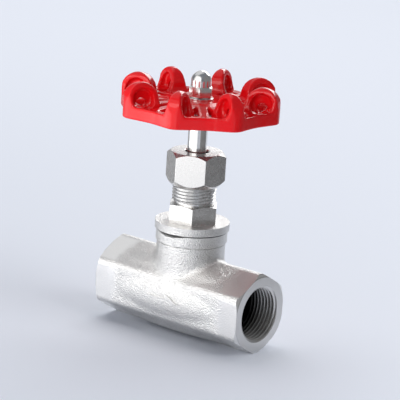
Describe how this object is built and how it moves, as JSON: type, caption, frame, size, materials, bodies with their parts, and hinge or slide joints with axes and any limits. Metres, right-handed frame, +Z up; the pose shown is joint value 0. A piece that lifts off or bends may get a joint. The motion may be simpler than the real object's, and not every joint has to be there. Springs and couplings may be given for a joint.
{
  "type": "needle valve",
  "caption": "Screwed-end needle valve with a hexagonal cast body, a screwed bonnet, a packed rising stem and a lobed handwheel.",
  "frame": {"origin": "on the stem axis, at the small flat under the body that the valve stands on", "axes": "+Z up along the stem, +X along the flow towards the outlet port, +Y across the body"},
  "size_m": [0.0836, 0.0714, 0.1222],
  "materials": {
    "cast_stainless": "bead-blasted investment casting",
    "machined_stainless": "fine turned",
    "polished_stem": "polished",
    "plated_steel": "bright",
    "red_enamel": "gloss enamel",
    "graphite_gasket": "matt",
    "ptfe_packing": "satin"
  },
  "bodies": {
    "valve_body": {"body": "cast_stainless", "seat_ring": "machined_stainless", "bonnet_gasket": "graphite_gasket", "bonnet": "machined_stainless", "packing_washer": "machined_stainless", "packing_ring_1": "ptfe_packing", "packing_ring_2": "ptfe_packing", "packing_ring_3": "ptfe_packing", "packing_ring_4": "ptfe_packing"},
    "follower": {"gland_follower": "machined_stainless"},
    "nut": {"gland_nut": "machined_stainless"},
    "plug": {"needle_plug": "machined_stainless", "thrust_ball": "machined_stainless", "plug_retaining_nut": "machined_stainless"},
    "spindle": {"stem": "polished_stem", "handwheel": "red_enamel", "wheel_washer": "plated_steel", "cap_nut": "plated_steel"}
  },
  "joints": [
    {"name": "plug_lift", "type": "slide", "parent": "valve_body", "child": "plug", "axis": [0, 0, 1], "range_m": [-0.006, 0.002]},
    {"name": "stem_turn", "type": "hinge", "parent": "plug", "child": "spindle", "pos_m": [0, 0, 0.09], "axis": [0, 0, 1], "range_deg": [-1080, 360]},
    {"name": "gland_lift", "type": "slide", "parent": "valve_body", "child": "follower", "axis": [0, 0, 1], "range_m": [0, 0.003]},
    {"name": "gland_turn", "type": "hinge", "parent": "follower", "child": "nut", "pos_m": [0, 0, 0.08], "axis": [0, 0, 1], "range_deg": [0, 720]}
  ],
  "couplings": [
    {"joint": "plug_lift", "follows": "stem_turn", "m_per_rad": 0.00031831},
    {"joint": "gland_lift", "follows": "gland_turn", "m_per_rad": 0.00023873}
  ]
}
